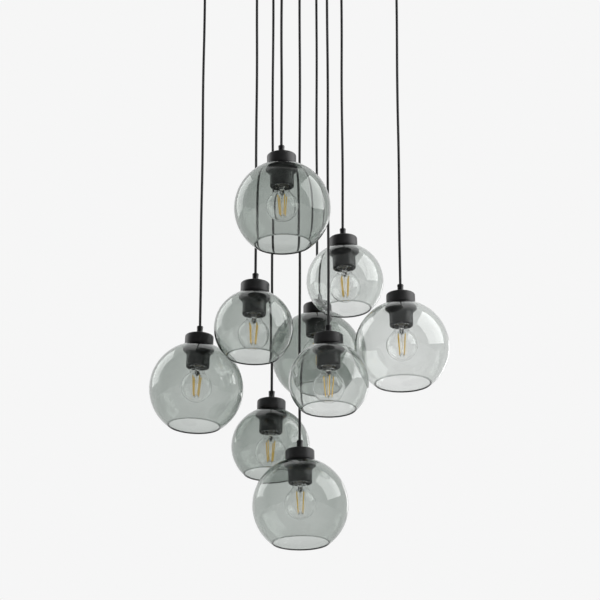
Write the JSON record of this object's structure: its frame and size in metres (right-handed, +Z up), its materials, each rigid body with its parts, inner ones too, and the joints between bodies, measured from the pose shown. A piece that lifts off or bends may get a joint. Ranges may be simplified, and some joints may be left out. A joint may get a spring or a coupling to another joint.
{
  "type": "cluster pendant light",
  "caption": "Ceiling light with smoked glass globes hung at staggered heights on straight black cords from a round canopy, each with a black cap and a filament bulb.",
  "frame": {"origin": "centre of the ceiling bracket's top face, in the plane of the ceiling", "axes": "+Z up into the ceiling, +X to the right of the picture's view, +Y away from the viewer; the pendants hang towards -Z"},
  "size_m": [0.5709, 0.5638, 1.2739],
  "materials": {
    "black_metal": "matte black powder coat",
    "black_plastic": "satin moulded black",
    "black_cord": "smooth round black flex",
    "smoked_glass": "smoke grey blown glass, clear and glossy",
    "clear_glass": "clear bulb glass",
    "zinc_steel": "zinc plated",
    "white_plastic": "white moulded"
  },
  "bodies": {
    "canopy": {"canopy_cover": "black_metal", "ceiling_bracket": "zinc_steel", "canopy_screws": "zinc_steel", "canopy_cord_grips": "black_plastic", "terminal_block": "white_plastic", "cord_tails": "black_cord"},
    "pendant_1": {"cord_1": "black_cord", "cord_grip_1": "black_plastic", "cap_1": "black_metal", "lampholder_1": "black_plastic", "glass_shade_1": "smoked_glass"},
    "bulb_unit_1": {"bulb_1": "clear_glass"},
    "pendant_2": {"cord_2": "black_cord", "cord_grip_2": "black_plastic", "cap_2": "black_metal", "lampholder_2": "black_plastic", "glass_shade_2": "smoked_glass"},
    "bulb_unit_2": {"bulb_2": "clear_glass"},
    "pendant_3": {"cord_3": "black_cord", "cord_grip_3": "black_plastic", "cap_3": "black_metal", "lampholder_3": "black_plastic", "glass_shade_3": "smoked_glass"},
    "bulb_unit_3": {"bulb_3": "clear_glass"},
    "pendant_4": {"cord_4": "black_cord", "cord_grip_4": "black_plastic", "cap_4": "black_metal", "lampholder_4": "black_plastic", "glass_shade_4": "smoked_glass"},
    "bulb_unit_4": {"bulb_4": "clear_glass"},
    "pendant_5": {"cord_5": "black_cord", "cord_grip_5": "black_plastic", "cap_5": "black_metal", "lampholder_5": "black_plastic", "glass_shade_5": "smoked_glass"},
    "bulb_unit_5": {"bulb_5": "clear_glass"},
    "pendant_6": {"cord_6": "black_cord", "cord_grip_6": "black_plastic", "cap_6": "black_metal", "lampholder_6": "black_plastic", "glass_shade_6": "smoked_glass"},
    "bulb_unit_6": {"bulb_6": "clear_glass"},
    "pendant_7": {"cord_7": "black_cord", "cord_grip_7": "black_plastic", "cap_7": "black_metal", "lampholder_7": "black_plastic", "glass_shade_7": "smoked_glass"},
    "bulb_unit_7": {"bulb_7": "clear_glass"},
    "pendant_8": {"cord_8": "black_cord", "cord_grip_8": "black_plastic", "cap_8": "black_metal", "lampholder_8": "black_plastic", "glass_shade_8": "smoked_glass"},
    "bulb_unit_8": {"bulb_8": "clear_glass"},
    "pendant_9": {"cord_9": "black_cord", "cord_grip_9": "black_plastic", "cap_9": "black_metal", "lampholder_9": "black_plastic", "glass_shade_9": "smoked_glass"},
    "bulb_unit_9": {"bulb_9": "clear_glass"}
  },
  "joints": [
    {"name": "swing_1", "type": "hinge", "parent": "canopy", "child": "pendant_1", "pos_m": [-0.19192, 0.03453, -0.036], "axis": [0.1771, 0.9842, 0], "range_deg": [0, 12]},
    {"name": "unscrew_1", "type": "hinge", "parent": "pendant_1", "child": "bulb_unit_1", "pos_m": [-0.19726, 0.03453, -0.95738], "axis": [0.0436, 0, 0.999], "range_deg": [0, 1080]},
    {"name": "swing_2", "type": "hinge", "parent": "canopy", "child": "pendant_2", "pos_m": [-0.08415, -0.05402, -0.036], "axis": [-0.7955, 0.606, 0], "range_deg": [-1.5, 12]},
    {"name": "unscrew_2", "type": "hinge", "parent": "pendant_2", "child": "bulb_unit_2", "pos_m": [-0.08736, -0.05402, -0.88246], "axis": [0.0262, 0, 0.9997], "range_deg": [0, 1080]},
    {"name": "swing_3", "type": "hinge", "parent": "canopy", "child": "pendant_3", "pos_m": [-0.05402, 0.08415, -0.036], "axis": [0.8415, 0.5402, 0], "range_deg": [0, 12]},
    {"name": "unscrew_3", "type": "hinge", "parent": "pendant_3", "child": "bulb_unit_3", "pos_m": [-0.05616, 0.08415, -1.07248], "axis": [0.0175, 0, 0.9998], "range_deg": [0, 1080]},
    {"name": "swing_4", "type": "hinge", "parent": "canopy", "child": "pendant_4", "pos_m": [-0.03453, -0.19192, -0.036], "axis": [-0.9842, 0.1771, 0], "range_deg": [-4.5, 12]},
    {"name": "unscrew_4", "type": "hinge", "parent": "pendant_4", "child": "bulb_unit_4", "pos_m": [-0.03239, -0.19192, -0.67748], "axis": [-0.0175, 0, 0.9998], "range_deg": [0, 1080]},
    {"name": "swing_5", "type": "hinge", "parent": "canopy", "child": "pendant_5", "pos_m": [0, 0, -0.036], "axis": [-0.1097, -0.994, 0], "range_deg": [0, 2.5]},
    {"name": "unscrew_5", "type": "hinge", "parent": "pendant_5", "child": "bulb_unit_5", "pos_m": [0.00128, 0, -1.19749], "axis": [-0.0105, 0, 0.9999], "range_deg": [0, 1080]},
    {"name": "swing_6", "type": "hinge", "parent": "canopy", "child": "pendant_6", "pos_m": [0.03453, 0.19192, -0.036], "axis": [0.9842, -0.1771, 0], "range_deg": [-1.5, 12]},
    {"name": "unscrew_6", "type": "hinge", "parent": "pendant_6", "child": "bulb_unit_6", "pos_m": [0.03453, 0.19192, -0.8375], "axis": [0, 0, 1], "range_deg": [0, 1080]},
    {"name": "swing_7", "type": "hinge", "parent": "canopy", "child": "pendant_7", "pos_m": [0.05402, -0.08415, -0.036], "axis": [-0.8415, -0.5402, 0], "range_deg": [-1, 12]},
    {"name": "unscrew_7", "type": "hinge", "parent": "pendant_7", "child": "bulb_unit_7", "pos_m": [0.05402, -0.08415, -0.9975], "axis": [0, 0, 1], "range_deg": [0, 1080]},
    {"name": "swing_8", "type": "hinge", "parent": "canopy", "child": "pendant_8", "pos_m": [0.08415, 0.05402, -0.036], "axis": [0.5402, -0.8415, 0], "range_deg": [-2, 12]},
    {"name": "unscrew_8", "type": "hinge", "parent": "pendant_8", "child": "bulb_unit_8", "pos_m": [0.08843, 0.05402, -0.74743], "axis": [-0.0349, 0, 0.9994], "range_deg": [0, 1080]},
    {"name": "swing_9", "type": "hinge", "parent": "canopy", "child": "pendant_9", "pos_m": [0.19192, -0.03453, -0.036], "axis": [-0.1771, -0.9842, 0], "range_deg": [0, 12]},
    {"name": "unscrew_9", "type": "hinge", "parent": "pendant_9", "child": "bulb_unit_9", "pos_m": [0.19342, -0.03453, -0.89749], "axis": [-0.0122, 0, 0.9999], "range_deg": [0, 1080]}
  ]
}
